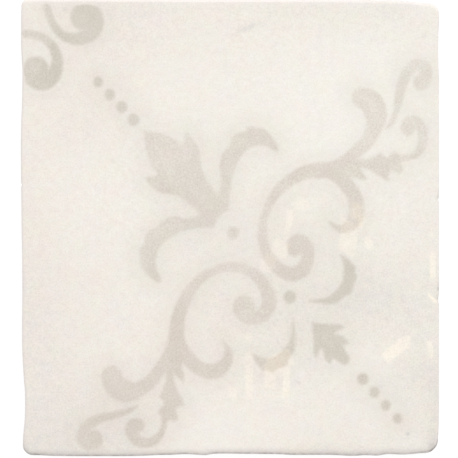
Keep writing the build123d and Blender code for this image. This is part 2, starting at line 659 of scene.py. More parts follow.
class NodeSheet:
    """A material's or the world's node sheet, emptied and ready to fill."""

    def __init__(self, tree: bpy.types.NodeTree) -> None:
        """Empties the node tree and keeps it."""
        self.tree = tree
        self.tree.nodes.clear()

    def node(self, kind: str, settings: dict | None = None, inputs: dict | None = None) -> bpy.types.Node:
        """Adds one node.

        Args:
            kind: The node's type.
            settings: Its settings by name, set first.
            inputs: Values or links of its sockets, by name or number.

        Returns:
            The new node.
        """
        made = self.tree.nodes.new(kind)
        for name, value in (settings or {}).items():
            setattr(made, name, value)
        for key, value in (inputs or {}).items():
            socket = self._socket(made, key)
            if isinstance(value, Signal):
                self.tree.links.new(value.socket, socket)
            elif isinstance(value, bpy.types.NodeSocket):
                self.tree.links.new(value, socket)
            else:
                socket.default_value = value
        return made

    @staticmethod
    def _socket(made: bpy.types.Node, key: str | int) -> bpy.types.NodeSocket:
        """Finds an input.

        Args:
            made: The node.
            key: The socket's number, or its name among the sockets in use.

        Returns:
            The socket.
        """
        if isinstance(key, int):
            return made.inputs[key]
        return next(socket for socket in made.inputs if socket.enabled and socket.name == key)

    def signal(
        self, kind: str, output: str, settings: dict | None = None, inputs: dict | None = None
    ) -> Signal:
        """Adds a node and takes one of its outputs as a value.

        Args:
            kind: The node's type.
            output: The output's name.
            settings: The node's settings by name.
            inputs: Values or links of its sockets.

        Returns:
            The output's value.
        """
        made = self.node(kind, settings, inputs)
        found = next(socket for socket in made.outputs if socket.enabled and socket.name == output)
        return Signal(self, found)

    def attribute(self, name: str) -> Signal:
        """Reads one of the piece's own attributes as a value."""
        return self.signal("ShaderNodeAttribute", "Fac", {"attribute_name": name})

    def _noise(self, cloud: Cloud, output: str) -> Signal:
        """Adds a random pattern on Object coordinates.

        Args:
            cloud: Which of the patterns.
            output: The output's name.

        Returns:
            The output's value.
        """
        size, seed, detail = cloud.value
        place = self.node("ShaderNodeTexCoord").outputs["Object"]
        moved = self.node("ShaderNodeMapping", {}, {"Vector": place, "Location": (seed, -seed, seed / 2)})
        inputs = {"Vector": moved.outputs["Vector"], "Scale": 1.0 / size, "Detail": detail}
        return self.signal("ShaderNodeTexNoise", output, {"noise_dimensions": "3D"}, inputs)

    def cloud(self, cloud: Cloud) -> Signal:
        """A random pattern as a value about 0.5."""
        return self._noise(cloud, "Fac")

    def stray(self, cloud: Cloud) -> Signal:
        """A random pattern as a value about 0."""
        return self.cloud(cloud) - 0.5

    def speckled(self, colour: Signal, cloud: Cloud, amount: float) -> Signal:
        """Lets a colour stray at random, each of its channels on its own.

        Args:
            colour: The colour.
            cloud: The pattern that it strays by.
            amount: How far a channel can stray.

        Returns:
            The speckled colour.
        """
        inputs = {0: self._noise(cloud, "Color"), 1: (amount,) * 3, 2: colour}
        lifted = self.signal("ShaderNodeVectorMath", "Vector", {"operation": "MULTIPLY_ADD"}, inputs)
        inputs = {0: lifted, 1: (amount / 2,) * 3}
        return self.signal("ShaderNodeVectorMath", "Vector", {"operation": "SUBTRACT"}, inputs)

    def mixed(self, amount: Signal | float, start: Colour | Signal, end: Colour | Signal) -> Signal:
        """Mixes two colours.

        Args:
            amount: How much of the second colour shows.
            start: The first colour.
            end: The second colour.

        Returns:
            The mixed colour.
        """
        first = start if isinstance(start, Signal) else (*start, 1.0)
        second = end if isinstance(end, Signal) else (*end, 1.0)
        inputs = {"Factor": amount, "A": first, "B": second}
        return self.signal("ShaderNodeMix", "Result", {"data_type": "RGBA", "clamp_factor": True}, inputs)

    def output(self, kind: str, shader: bpy.types.Node) -> None:
        """Ends the sheet with its output node."""
        self.node(kind, {}, {"Surface": shader.outputs[0]})


@dataclass(frozen=True)
class GlazeFinish:
    """Glossy ivory glaze with the print under it, running out into bare biscuit down the sides.

    Attributes:
        ivory: The glaze's colour on the right, a little greener.
        blush: Its colour on the left, a little pinker.
        pale: Where it pooled thickest and palest, and the painted highlight at the top right corner.
        shade: Where it lies thin and greyer, its smudge and specks, and the painted shade along the bottom
            arris and at the lower right corner.
        sage_ink: The print's greener grey.
        rose_ink: The print's pinker grey.
        thin_glaze: The glaze where it drew thin over the arris.
        worn_and_shaded_edge: The dark line on the arris: painted shade along the bottom arris and at the
            lower corners, and real stains at the right side's nicks.
        biscuit: The bare clay.
        biscuit_dark: The clay's darker patches.
        biscuit_span: Between which values of its pattern the clay darkens.
        biscuit_roughness: The clay's roughness.
        gloss: The glaze's roughness.
        haze: How much rougher it is where it is hazy.
        haze_span: Between which values of its pattern the haze sets in.
        refraction: The glaze's index of refraction.
        relief: How strongly the fine relief of glaze and clay shows.
        relief_height: How high that relief is, in metres.
        rim_cover: The least and the most of the thin glaze on the arris.
        rim_span: Between which values of its pattern it goes from the least to the most.
        wear_and_shade_cover: The least and the most of that dark line of painted shade and stains, in the
            same way.
        wear_and_shade_span: Between which values of its pattern it goes from the least to the most.
        glaze_line: The height at which the glaze ends, in metres.
        glaze_line_wander: How far that line wanders up and down.
        glaze_line_soft: How far its edge runs out above and below it.
        fine_grain: How strong the glaze's finest grain is.
        grain: How strong its coarser grain is.
        fine_speckle: How far its colour strays in the finest speckle.
        speckle: How far it strays in the coarser speckle.
        fray: How far the print's edge frays, in millimetres.
        edge_span: Between which depths in the print the ink sets in.
        bleed: How much ink bled into the glaze round the figures.
        bleed_span: Between which depths that ink sets in.
        starving: How much less ink there is in the middle of broad figures.
        starved_span: Between which depths the ink gets less.
        fine_mottle: How strong the ink's finest mottling is.
        mottle: How strong its coarser mottling is.
    """

    ivory: Colour = (0.845, 0.805, 0.741)
    blush: Colour = (0.851, 0.792, 0.731)
    # pale also paints a highlight at the top right corner; shade also paints shade along the bottom arris and
    # at the lower right corner.
    pale: Colour = (0.930, 0.905, 0.850)
    shade: Colour = (0.690, 0.655, 0.625)
    sage_ink: Colour = (0.598, 0.555, 0.482)
    rose_ink: Colour = (0.612, 0.540, 0.470)
    thin_glaze: Colour = (0.815, 0.745, 0.730)
    # The dark edge line: painted shade along the bottom arris and lower corners, and stains at the nicks.
    worn_and_shaded_edge: Colour = (0.200, 0.165, 0.150)
    biscuit: Colour = (0.640, 0.510, 0.400)
    biscuit_dark: Colour = (0.520, 0.395, 0.300)
    biscuit_span: Span = (0.4, 0.7)
    biscuit_roughness: float = 0.85
    gloss: float = 0.02
    haze: float = 0.012
    haze_span: Span = (0.3, 0.75)
    refraction: float = 1.5
    relief: float = 0.02
    relief_height: float = 0.1 * MM
    rim_cover: Span = (0.6, 1.0)
    rim_span: Span = (0.35, 0.65)
    wear_and_shade_cover: Span = (0.4, 1.6)
    wear_and_shade_span: Span = (0.3, 0.7)
    glaze_line: float = 1.6 * MM
    glaze_line_wander: float = 2.2 * MM
    glaze_line_soft: float = 0.25 * MM
    fine_grain: float = 1.4
    grain: float = 0.9
    fine_speckle: float = 0.035
    speckle: float = 0.06
    fray: float = 0.5
    edge_span: Span = (-0.80, 0.62)
    bleed: float = 0.13
    bleed_span: Span = (-6.5, -0.4)
    starving: float = 0.16
    starved_span: Span = (1.6, 4.0)
    fine_mottle: float = 1.0
    mottle: float = 0.4

    def material(self) -> bpy.types.Material:
        """Makes the finish.

        Returns:
            The material.
        """
        made = bpy.data.materials.new("ivory_glaze_with_print")
        made.use_nodes = True
        sheet = NodeSheet(made.node_tree)
        covered = self._covered(sheet)
        clay_dark = sheet.cloud(Cloud.CLAY).between(*self.biscuit_span)
        clay = sheet.mixed(clay_dark, self.biscuit, self.biscuit_dark)
        colour = sheet.mixed(covered, clay, self._glazed(sheet))
        gloss = self.gloss + self.haze * sheet.cloud(Cloud.HAZE).between(*self.haze_span)
        roughness = self.biscuit_roughness + covered * (gloss - self.biscuit_roughness)
        bare_relief = (1 - covered) * sheet.cloud(Cloud.CLAY_RELIEF)
        height = covered * sheet.cloud(Cloud.GLAZE_RELIEF) + bare_relief
        inputs = {"Strength": self.relief, "Distance": self.relief_height, "Height": height}
        normal = sheet.node("ShaderNodeBump", {}, inputs).outputs["Normal"]
        inputs = {"Base Color": colour, "Roughness": roughness, "IOR": self.refraction, "Normal": normal}
        shader = sheet.node("ShaderNodeBsdfPrincipled", {}, inputs)
        sheet.output("ShaderNodeOutputMaterial", shader)
        return made

    def _covered(self, sheet: NodeSheet) -> Signal:
        """Is 1 where glaze covers the clay and 0 below its wandering line.

        Args:
            sheet: The node sheet to draw on.

        Returns:
            The value.
        """
        place = sheet.node("ShaderNodeTexCoord").outputs["Object"]
        height = sheet.signal("ShaderNodeSeparateXYZ", "Z", {}, {"Vector": place})
        wander = sheet.stray(Cloud.GLAZE_LINE) * self.glaze_line_wander
        low = self.glaze_line - self.glaze_line_soft
        return (height + wander).between(low, self.glaze_line + self.glaze_line_soft)

    def _glazed(self, sheet: NodeSheet) -> Signal:
        """The glaze with its thin rim, its print and its dark edge line of stains and painted shade.

        Args:
            sheet: The node sheet to draw on.

        Returns:
            The glaze's colour.
        """
        least, most = self.rim_cover
        rim = least + (most - least) * sheet.cloud(Cloud.THIN_RIM).between(*self.rim_span)
        thinned = sheet.mixed(sheet.attribute("rim") * rim, self._ground(sheet), self.thin_glaze)
        # The dark edge line below is painted shade along the bottom arris and lower corners, with real stains
        # at the right side's nicks.
        least, most = self.wear_and_shade_cover
        worn_and_shaded = least + (most - least) * sheet.cloud(Cloud.WORN_AND_SHADED_LINE).between(*self.wear_and_shade_span)
        return sheet.mixed(sheet.attribute("worn_and_shaded") * worn_and_shaded, self._printed(sheet, thinned), self.worn_and_shaded_edge)

    def _ground(self, sheet: NodeSheet) -> Signal:
        """The glaze without its print.

        Args:
            sheet: The node sheet to draw on.

        Returns:
            The glaze's colour.
        """
        fired = sheet.mixed(sheet.attribute("blush"), self.ivory, self.blush)
        grain = self.fine_grain * sheet.stray(Cloud.FINE_GRAIN) + self.grain * sheet.stray(Cloud.GRAIN)
        # This attribute holds glaze tone, smudges and specks, painted shade along the bottom arris and lower
        # right corner, and a painted highlight at the top right corner.
        tone_and_painted_light = sheet.attribute("tone_and_painted_light") + grain
        lightened = sheet.mixed(tone_and_painted_light, fired, self.pale)
        level = sheet.mixed(0 - tone_and_painted_light, lightened, self.shade)
        fine = sheet.speckled(level, Cloud.FINE_SPECKLE, self.fine_speckle)
        return sheet.speckled(fine, Cloud.SPECKLE, self.speckle)

    def _printed(self, sheet: NodeSheet, ground: Signal) -> Signal:
        """The glaze with its print.

        Args:
            sheet: The node sheet to draw on.
            ground: The glaze's own colour.

        Returns:
            The colour with the ornament in it.
        """
        depth = sheet.attribute("print_depth")
        edge = (depth + sheet.stray(Cloud.FRAYED_EDGE) * self.fray).between(*self.edge_span)
        bled = self.bleed * depth.between(*self.bleed_span)
        starved = 1 - self.starving * depth.between(*self.starved_span)
        mottled = self.fine_mottle * sheet.stray(Cloud.FINE_MOTTLE) + self.mottle * sheet.stray(Cloud.MOTTLE)
        taken = sheet.attribute("print_strength") * starved + mottled
        amount = bled + edge * (taken - self.bleed)
        ink = sheet.mixed(sheet.attribute("print_warmth"), self.sage_ink, self.rose_ink)
        return sheet.mixed(amount, ground, ink)


@dataclass(frozen=True)
class Side:
    """One hand-finished side, in millimetres.

    Attributes:
        points: Shares of the way along the side, from the left or the bottom, each with the side's inset
            from the tile's box there.
        arris: How wide the rounded arris is, measured in from the side.
        fall: How deep it is, measured down from the face.
        drawn_length: The length at which the side's curve is drawn.
        step: The largest distance between two places on that curve.
    """

    points: Run
    arris: float
    fall: float
    drawn_length: float = 100.0
    step: float = 0.5

    def inset(self, share: np.ndarray) -> np.ndarray:
        """The side's inset in millimetres, at shares of the way along it."""
        curve = smooth_curve(np.array(self.points) * (self.drawn_length, 1.0), self.step)
        return np.interp(share * self.drawn_length, curve[:, 0], curve[:, 1])


@dataclass(frozen=True)
class Corner:
    """One corner: which way it lies from the tile's middle, and its radius in millimetres."""

    right: bool
    top: bool
    radius: float


@dataclass(frozen=True)
class Nick:
    """A small chip or dent in the arris: its place, its reach and its depth, in millimetres."""

    place: Point
    reach: float
    depth: float


@dataclass(frozen=True)
class Ripple:
    """A shallow ripple of the glaze: its name, its length and its height, in millimetres."""

    name: str
    length: float
    height: float


@dataclass
class GlazedTile:
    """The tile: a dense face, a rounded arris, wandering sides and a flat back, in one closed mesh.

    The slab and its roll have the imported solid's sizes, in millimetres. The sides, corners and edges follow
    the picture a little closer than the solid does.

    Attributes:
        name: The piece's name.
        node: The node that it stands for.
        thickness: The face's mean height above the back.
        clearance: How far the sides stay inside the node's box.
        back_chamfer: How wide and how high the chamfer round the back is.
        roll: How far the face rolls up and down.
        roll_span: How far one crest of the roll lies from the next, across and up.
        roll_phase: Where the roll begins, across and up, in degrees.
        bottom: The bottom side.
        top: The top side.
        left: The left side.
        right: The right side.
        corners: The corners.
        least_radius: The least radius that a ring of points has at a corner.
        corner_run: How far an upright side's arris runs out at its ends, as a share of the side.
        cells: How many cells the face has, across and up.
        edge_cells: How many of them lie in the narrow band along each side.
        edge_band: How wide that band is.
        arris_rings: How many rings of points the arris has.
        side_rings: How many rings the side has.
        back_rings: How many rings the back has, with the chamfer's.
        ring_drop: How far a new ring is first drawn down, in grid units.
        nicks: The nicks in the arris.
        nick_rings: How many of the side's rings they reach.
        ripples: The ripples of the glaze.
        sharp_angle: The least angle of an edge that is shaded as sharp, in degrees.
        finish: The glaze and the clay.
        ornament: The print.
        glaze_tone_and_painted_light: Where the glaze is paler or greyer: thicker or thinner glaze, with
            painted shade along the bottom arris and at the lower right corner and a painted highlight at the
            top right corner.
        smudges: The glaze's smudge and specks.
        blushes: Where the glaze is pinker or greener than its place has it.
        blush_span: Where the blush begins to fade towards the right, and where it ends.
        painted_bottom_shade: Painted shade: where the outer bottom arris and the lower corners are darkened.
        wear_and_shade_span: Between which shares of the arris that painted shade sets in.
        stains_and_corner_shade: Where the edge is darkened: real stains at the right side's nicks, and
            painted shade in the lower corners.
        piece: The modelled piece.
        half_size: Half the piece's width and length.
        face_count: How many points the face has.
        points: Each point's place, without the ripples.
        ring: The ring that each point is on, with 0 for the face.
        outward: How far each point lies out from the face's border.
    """

    name: str = "glazed_tile"
    node: str = "tile"
    thickness: float = 9.0
    clearance: float = 0.006
    back_chamfer: float = 0.5
    roll: float = 0.22
    roll_span: Point = (74.0, 88.0)
    roll_phase: Point = (34.0, -52.0)
    bottom: Side = Side(
        points=(
            (0.0, 0.34), (0.04, 0.3), (0.07, 0.1), (0.21, 0.0), (0.28, 0.07), (0.33, 0.33),
            (0.36, 0.4), (0.39, 0.58), (0.41, 0.5), (0.425, 0.37), (0.443, 0.33), (0.457, 0.64),
            (0.47, 0.74), (0.55, 0.67), (0.62, 0.56), (0.65, 0.38), (0.74, 0.37), (0.8, 0.1),
            (0.823, 0.29), (0.84, 0.22), (0.855, 0.17), (0.87, 0.45), (0.88, 0.6), (0.92, 0.45),
            (0.945, 0.7), (0.96, 0.86), (1.0, 1.0),
        ),
        arris=2.0,
        fall=1.2,
    )
    top: Side = Side(
        points=(
            (0.0, 0.0), (0.3, 0.0), (0.74, 0.05), (0.87, 0.2), (0.92, 0.45), (0.96, 0.95),
            (1.0, 1.1),
        ),
        arris=2.0,
        fall=0.36,
    )
    left: Side = Side(
        points=(
            (0.0, 0.55), (0.04, 0.68), (0.08, 1.15), (0.1, 1.23), (0.13, 1.23), (0.18, 0.78),
            (0.24, 0.4), (0.36, 0.45), (0.45, 0.38), (0.5, 0.26), (0.56, 0.2), (0.66, 0.06),
            (0.72, 0.12), (0.775, 0.36), (0.815, 0.48), (0.853, 0.44), (0.89, 0.15), (1.0, 0.2),
        ),
        arris=0.8,
        fall=0.45,
    )
    right: Side = Side(
        points=(
            (0.0, 0.45), (0.03, 0.3), (0.06, 0.1), (0.09, 0.0), (0.83, 0.0), (0.87, 0.22),
            (0.93, 0.2), (0.96, 0.0), (1.0, 0.1),
        ),
        arris=0.5,
        fall=0.4,
    )
    corners: tuple[Corner, ...] = (
        Corner(False, False, 2.9),
        Corner(True, False, 3.4),
        Corner(True, True, 3.0),
        Corner(False, True, 1.8),
    )
    least_radius: float = 0.05
    corner_run: float = 0.06
    cells: tuple[int, int] = (258, 282)
    edge_cells: int = 16
    edge_band: float = 4.4
    arris_rings: int = 8
    side_rings: int = 6
    back_rings: int = 2
    ring_drop: float = 0.1
    nicks: tuple[Nick, ...] = (
        Nick((59.5, 8.1), 0.8, 0.25),
        Nick((59.5, -20.3), 2.0, 0.24),
        Nick((-59.4, 12.3), 0.5, 0.5),
    )
    nick_rings: int = 2
    ripples: tuple[Ripple, ...] = (Ripple("swell", 34.0, 0.08), Ripple("ripple", 11.0, 0.006))
    sharp_angle: float = 35.0
    finish: GlazeFinish = GlazeFinish()
    ornament: ScrollPrint = ScrollPrint()
    # Mostly the glaze's tone; (26, -63), (30, -64.2) and (58.2, -60) are painted shade along the bottom arris
    # and at the lower right corner, and (56.5, 62.8) is a painted highlight at the top right corner.
    glaze_tone_and_painted_light: tuple[SoftPatch, ...] = patches(
        (26.0, 34.0, 26.0, 26.0, 0.42), (8.0, -58.0, 22.0, 10.0, 0.30),
        (-38.0, 10.0, 12.0, 14.0, 0.22), (-50.0, -60.0, 26.0, 12.0, -0.34),
        (-62.0, -26.0, 10.0, 24.0, -0.14), (40.0, -22.0, 18.0, 6.0, -0.24),
        (58.0, -45.0, 9.0, 9.0, -0.18), (-40.0, 56.0, 16.0, 12.0, -0.04),
        (8.0, 24.0, 8.0, 6.0, -0.12), (-26.0, 64.0, 9.0, 6.0, -0.18),
        (32.0, 64.0, 22.0, 6.0, -0.18), (-55.0, 46.0, 7.0, 14.0, 0.24),
        (-18.0, 38.0, 10.0, 10.0, 0.22), (40.0, 24.0, 7.0, 7.0, 0.16),
        (-10.0, 5.0, 6.0, 9.0, -0.15), (24.0, -2.0, 11.0, 11.0, -0.12),
        (47.0, -14.0, 10.0, 7.0, -0.07), (-46.0, 4.0, 13.0, 12.0, 0.12),
        (-33.0, -34.0, 11.0, 14.0, 0.22), (39.0, -38.0, 9.0, 6.0, 0.20),
        (57.0, -43.0, 4.0, 5.0, -0.15), (-26.0, -54.0, 6.0, 5.0, -0.12),
        (-10.0, -62.0, 10.0, 7.0, 0.26), (26.0, -63.0, 9.0, 4.0, -0.20),
        (-45.0, 31.0, 9.0, 7.0, -0.12), (20.0, 61.0, 10.0, 5.0, -0.12),
        (46.0, 36.0, 12.0, 14.0, 0.14), (-56.0, -50.0, 6.0, 6.0, 0.12),
        (-28.0, -55.0, 5.0, 3.0, -0.14), (43.0, -55.0, 8.0, 5.0, 0.12),
        (52.0, -42.0, 6.0, 4.0, -0.12), (41.0, -17.0, 6.0, 5.0, -0.10),
        (19.0, -34.0, 7.0, 5.0, -0.11), (31.0, 7.0, 4.0, 4.0, -0.12), (-8.0, 8.0, 3.0, 6.0, -0.14),
        (-8.0, 26.0, 3.0, 4.0, -0.14), (-8.0, -21.0, 4.0, 4.0, -0.13),
        (57.0, -55.0, 4.0, 4.0, -0.10), (30.0, -64.2, 13.0, 1.3, -0.46),
        (57.0, -48.0, 4.0, 4.0, 0.12), (-18.0, -22.0, 5.0, 4.0, 0.12),
        (46.0, 62.0, 6.0, 3.0, -0.12), (53.0, 48.5, 5.0, 2.5, 0.14), (42.0, 44.0, 2.0, 4.0, 0.06),
        (-32.0, -49.0, 3.5, 1.2, -0.20), (58.2, -60.0, 1.3, 2.6, -0.36),
        (58.8, -52.0, 1.5, 8.0, -0.20), (45.0, 36.0, 2.0, 3.0, 0.15), (56.5, 62.8, 3.0, 2.0, 0.22),
    )
    smudges: tuple[SoftPatch, ...] = patches(
        (5.0, 56.9, 2.9, 0.72, -0.72, 22.0), (-46.7, 62.0, 0.38, 0.5, -0.70),
        (50.6, -58.5, 0.38, 0.36, -1.10), (55.0, 54.3, 0.6, 0.4, -0.75),
        (19.5, -44.1, 0.38, 0.38, -0.65),
    )
    blushes: tuple[SoftPatch, ...] = patches(
        (-40.0, -62.0, 9.0, 4.0, -1.1), (13.0, -59.0, 16.0, 6.0, 0.8), (8.0, -46.0, 7.0, 6.0, 0.5),
        (-6.0, -27.0, 10.0, 7.0, 0.6), (38.0, -29.0, 8.0, 5.0, 0.5), (-24.0, 2.0, 9.0, 10.0, -0.7),
        (4.0, 57.0, 12.0, 7.0, 0.6),
    )
    blush_span: Span = (-50.0, 12.0)
    # Painted shade: darkens the outer bottom arris and the lower corners.
    painted_bottom_shade: tuple[SoftPatch, ...] = patches(
        (0.0, -65.0, 40.0, 2.0, 0.45), (58.2, -61.6, 2.4, 3.0, 0.75),
        (-54.0, -65.0, 12.0, 3.0, 0.1),
    )
    wear_and_shade_span: Span = (0.45, 0.70)
    # Real stains at the right side's nicks; the last two, in the lower corners, are painted shade.
    stains_and_corner_shade: tuple[SoftPatch, ...] = patches(
        (59.4, 9.6, 0.4, 0.9, 0.12), (59.2, 8.8, 0.35, 0.3, 0.18), (59.4, -16.0, 0.35, 1.2, 0.12),
        (59.35, -17.4, 0.35, 0.5, 0.22), (59.1, -19.6, 0.35, 0.4, 0.28),
        (57.7, -62.0, 1.3, 1.3, 0.12), (-55.3, -64.7, 2.2, 0.45, 0.25),
    )
    piece: bpy.types.Object = field(init=False)
    half_size: Point = field(init=False)
    face_count: int = field(init=False)
    points: np.ndarray = field(init=False)
    ring: np.ndarray = field(init=False)
    outward: np.ndarray = field(init=False)

    def build(self) -> bpy.types.Object:
        """Models the tile and dresses it.

        Returns:
            The finished piece.
        """
        low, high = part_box(self.node)
        sizes = [(end - start) / MM for start, end in zip(low[:2], high[:2])]
        self.half_size = tuple(size / 2 - self.clearance for size in sizes)
        self._model_blank()
        self._shape_blank()
        self._ripple_glaze()
        self._print_ornament()
        self._finish_mesh()
        return self.piece

    def _model_blank(self) -> None:
        """Adds the face as a flat grid, draws its border down in rings and closes the back."""
        bpy.ops.object.select_all(action="DESELECT")
        bpy.ops.mesh.primitive_grid_add(x_subdivisions=self.cells[0], y_subdivisions=self.cells[1], size=2.0)
        self.piece = bpy.context.object
        self.piece.name = self.name
        self.piece.data.name = self.name
        flat = read_rows(self.piece.data.vertices, "co", 3)
        self.face_count = len(flat)
        self._note({"across": flat[:, 0], "up": flat[:, 1]})
        bpy.ops.object.mode_set(mode="EDIT")
        bpy.ops.mesh.select_all(action="SELECT")
        bpy.ops.mesh.region_to_loop()
        for _ in range(self.arris_rings + self.side_rings + self.back_rings):
            bpy.ops.mesh.extrude_edges_move(TRANSFORM_OT_translate={"value": (0.0, 0.0, -self.ring_drop)})
        bpy.ops.mesh.edge_face_add()
        bpy.ops.object.mode_set(mode="OBJECT")

    def _note(self, written: dict[str, np.ndarray]) -> None:
        """Writes values of the points into attributes of the mesh.

        Args:
            written: Each attribute's values by its name.
        """
        for name, values in written.items():
            attribute = self.piece.data.attributes.new(name, "FLOAT", "POINT")
            attribute.data.foreach_set("value", values)

    def _shape_blank(self) -> None:
        """Moves every point of the blank to its place on the tile."""
        mesh = self.piece.data
        count = len(mesh.vertices)
        across = read_rows(mesh.attributes["across"].data, "value", 1)[:, 0]
        up = read_rows(mesh.attributes["up"].data, "value", 1)[:, 0]
        share_x = self._graded((across + 1) / 2, 0)
        share_y = self._graded((up + 1) / 2, 1)
        loop = 2 * (self.cells[0] + self.cells[1])
        below_face = np.arange(count) - self.face_count
        self.ring = np.where(below_face < 0, 0, below_face // loop + 1)
        border = self._outline(share_x, share_y, np.ones(count), np.zeros(count))
        crown = self._face_height(border)
        arris, tucked, height = self._section(share_y, crown)
        place = self._nicked(self._outline(share_x, share_y, arris, tucked))
        self.points = np.column_stack([place, height])
        self.outward = np.hypot(*(place - border).T)
        mesh.vertices.foreach_set("co", (self.points * MM).ravel())
        mesh.update()

    def _graded(self, share: np.ndarray, axis: int) -> np.ndarray:
        """Packs the grid's lines closer along the edges.

        Args:
            share: Even shares of the way across the face.
            axis: 0 across the tile, 1 up it.

        Returns:
            The graded shares.
        """
        edge = self.edge_cells / self.cells[axis]
        band = self.edge_band / (2 * self.half_size[axis])
        return np.interp(share, (0.0, edge, 1 - edge, 1.0), (0.0, band, 1 - band, 1.0))

    def _run_out(self, own: float, at_bottom: float, at_top: float, share_y: np.ndarray) -> np.ndarray:
        """Lets an upright side's arris run out into those of the bottom and the top.

        Args:
            own: The side's own value.
            at_bottom: The bottom's value.
            at_top: The top's value.
            share_y: Shares of the way up.

        Returns:
            The value at each share.
        """
        below = np.clip(1 - share_y / self.corner_run, 0, 1) ** 2
        above = np.clip(1 - (1 - share_y) / self.corner_run, 0, 1) ** 2
        return own + (at_bottom - own) * below + (at_top - own) * above

    def _outline(
        self, share_x: np.ndarray, share_y: np.ndarray, arris: np.ndarray, tucked: np.ndarray
    ) -> np.ndarray:
        """Places shares of the tile inside its wandering outline.

        Args:
            share_x: Shares of the way across.
            share_y: Shares of the way up.
            arris: How much of the arris's width lies between the outline and each point's ring.
            tucked: How far the ring lies inside the outline besides that, in millimetres.

        Returns:
            Places in millimetres, one row each.
        """
        half_width, half_length = self.half_size
        ends = (self.bottom.arris, self.top.arris, share_y)
        in_left = arris * self._run_out(self.left.arris, *ends) + tucked
        in_right = arris * self._run_out(self.right.arris, *ends) + tucked
        in_bottom = arris * self.bottom.arris + tucked
        in_top = arris * self.top.arris + tucked
        x_low = -half_width + np.maximum(self.left.inset(share_y), 0) + in_left
        x_high = half_width - np.maximum(self.right.inset(share_y), 0) - in_right
        y_low = -half_length + np.maximum(self.bottom.inset(share_x), 0) + in_bottom
        y_high = half_length - np.maximum(self.top.inset(share_x), 0) - in_top
        x = x_low + share_x * (x_high - x_low)
        y = y_low + share_y * (y_high - y_low)
        for corner in self.corners:
            radius = np.maximum(corner.radius - (in_top if corner.top else in_bottom), self.least_radius)
            x_side = x_high if corner.right else x_low
            y_side = y_high if corner.top else y_low
            from_x = 1 - np.abs(x_side - x) / radius
            from_y = 1 - np.abs(y_side - y) / radius
            within = (from_x > 0) & (from_y > 0)
            round_x = from_x * np.sqrt(1 - np.clip(from_y, 0, 1) ** 2 / 2)
            round_y = from_y * np.sqrt(1 - np.clip(from_x, 0, 1) ** 2 / 2)
            x_sign = 1 if corner.right else -1
            y_sign = 1 if corner.top else -1
            x = np.where(within, x_side - x_sign * (1 - round_x) * radius, x)
            y = np.where(within, y_side - y_sign * (1 - round_y) * radius, y)
        return np.column_stack([x, y])

    def _face_height(self, place: np.ndarray) -> np.ndarray:
        """Works out the rolling face.

        Args:
            place: Places of the tile in millimetres, one row each.

        Returns:
            The face's height above the back at each place.
        """
        across = np.sin(np.radians(360 * place[:, 0] / self.roll_span[0] + self.roll_phase[0]))
        up = np.cos(np.radians(360 * place[:, 1] / self.roll_span[1] + self.roll_phase[1]))
        return self.thickness + self.roll * across * up

    def _section(self, share_y: np.ndarray, crown: np.ndarray) -> tuple[np.ndarray, np.ndarray, np.ndarray]:
        """The tile's edge in section: arris, side, chamfer and back.

        Args:
            share_y: Shares of the way up.
            crown: The face's height where each point's arris begins.

        Returns:
            How much of the arris's width is left at each point, how far the point is tucked in besides that,
            and its height in millimetres.
        """
        turn = np.clip(self.ring / self.arris_rings, 0, 1) * math.pi / 2
        upright = (self.left.fall + self.right.fall) / 2
        fall = self._run_out(upright, self.bottom.fall, self.top.fall, share_y)
        height = crown - fall * (1 - np.cos(turn))
        drop = np.clip((self.ring - self.arris_rings) / self.side_rings, 0, 1)
        height = height + drop * (self.back_chamfer - height)
        last = self.arris_rings + self.side_rings
        tucked = np.where(self.ring == last + 1, self.back_chamfer, 0.0)
        tucked = np.where(self.ring == last + self.back_rings, self.edge_band, tucked)
        return 1 - np.sin(turn), tucked, np.where(self.ring > last, 0.0, height)

    def _nicked(self, place: np.ndarray) -> np.ndarray:
        """Presses the nicks into the arris.

        Args:
            place: Each point's place in millimetres.

        Returns:
            The places with the nicks in them.
        """
        edge = (self.ring > 0) & (self.ring <= self.arris_rings + self.nick_rings)
        for nick in self.nicks:
            away = np.hypot(place[:, 0] - nick.place[0], place[:, 1] - nick.place[1])
            press = nick.depth * np.clip(1 - (away / nick.reach) ** 2, 0, 1) ** 2 * edge
            place[:, 0] -= math.copysign(1.0, nick.place[0]) * press
        return place

    def _ripple_glaze(self) -> None:
        """Gives the face the shallow ripples of a hand-poured glaze, with applied Displace modifiers."""
        group = self.piece.vertex_groups.new(name="glazed_face")
        glazed = self.ring <= self.arris_rings
        group.add(np.flatnonzero(glazed).tolist(), 1.0, "REPLACE")
        for ripple in self.ripples:
            texture = bpy.data.textures.new(ripple.name, "CLOUDS")
            texture.noise_scale = ripple.length * MM
            texture.noise_depth = 1
            displace = self.piece.modifiers.new(ripple.name, "DISPLACE")
            displace.texture = texture
            displace.texture_coords = "LOCAL"
            displace.direction = "Z"
            displace.vertex_group = group.name
            displace.mid_level = 1.0
            displace.strength = ripple.height * MM
            bpy.ops.object.modifier_apply(modifier=ripple.name)
        self.piece.vertex_groups.clear()
        rippled = read_rows(self.piece.data.vertices, "co", 3)
        places = np.where(glazed[:, None], rippled, self.points * MM)
        self.piece.data.vertices.foreach_set("co", places.ravel())
        self.piece.data.update()

    def _print_ornament(self) -> None:
        """Writes the ornament, the arris, the tone patches with their painted shade and highlight, and the
        dark edge line into attributes that the glaze reads.
        """
        at = self.points[:, :2]
        depth, strength, warmth = self.ornament.values(at)
        depth = depth - self.ornament.thinning * self.outward
        depth -= self.ornament.margin * np.clip(self.ring - self.arris_rings, 0, 1)
        rim = np.clip(self.ring / self.arris_rings, 0, 1)
        towards_right = np.interp(at[:, 0], self.blush_span, (0.0, 1.0))
        blush = 1 - towards_right**2 * (3 - 2 * towards_right) + spread(self.blushes, at)
